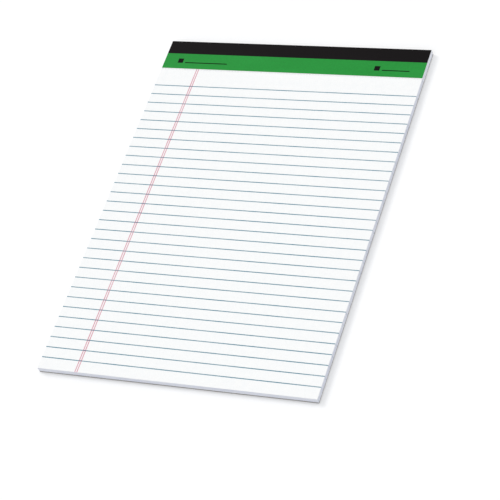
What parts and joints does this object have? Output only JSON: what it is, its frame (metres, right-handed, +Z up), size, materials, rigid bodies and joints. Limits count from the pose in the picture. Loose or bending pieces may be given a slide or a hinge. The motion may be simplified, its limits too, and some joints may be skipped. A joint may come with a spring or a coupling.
{
  "type": "legal pad",
  "caption": "Letter-size writing pad: ruled, perforated white sheets on a grey board, wire-stitched at the head under a folded black and green strip.",
  "frame": {"origin": "on the surface that the pad lies on, under the middle of the pad", "axes": "+X across the page from its left edge to its right, +Y from the foot to the stitched head, +Z up out of the page"},
  "size_m": [0.216, 0.308, 0.0053],
  "materials": {
    "white_paper": "matte",
    "blue_ink": "matte",
    "red_ink": "matte",
    "grey_board": "matte",
    "stitching_wire": "satin",
    "black_strip": "satin",
    "green_print": "satin"
  },
  "bodies": {
    "root": {"ruled_sheets": "white_paper", "page_rules": "blue_ink", "margin_lines": "red_ink", "backing_board": "grey_board", "binding_stitches": "stitching_wire", "header_strip": "black_strip", "header_band": "green_print"}
  },
  "joints": []
}
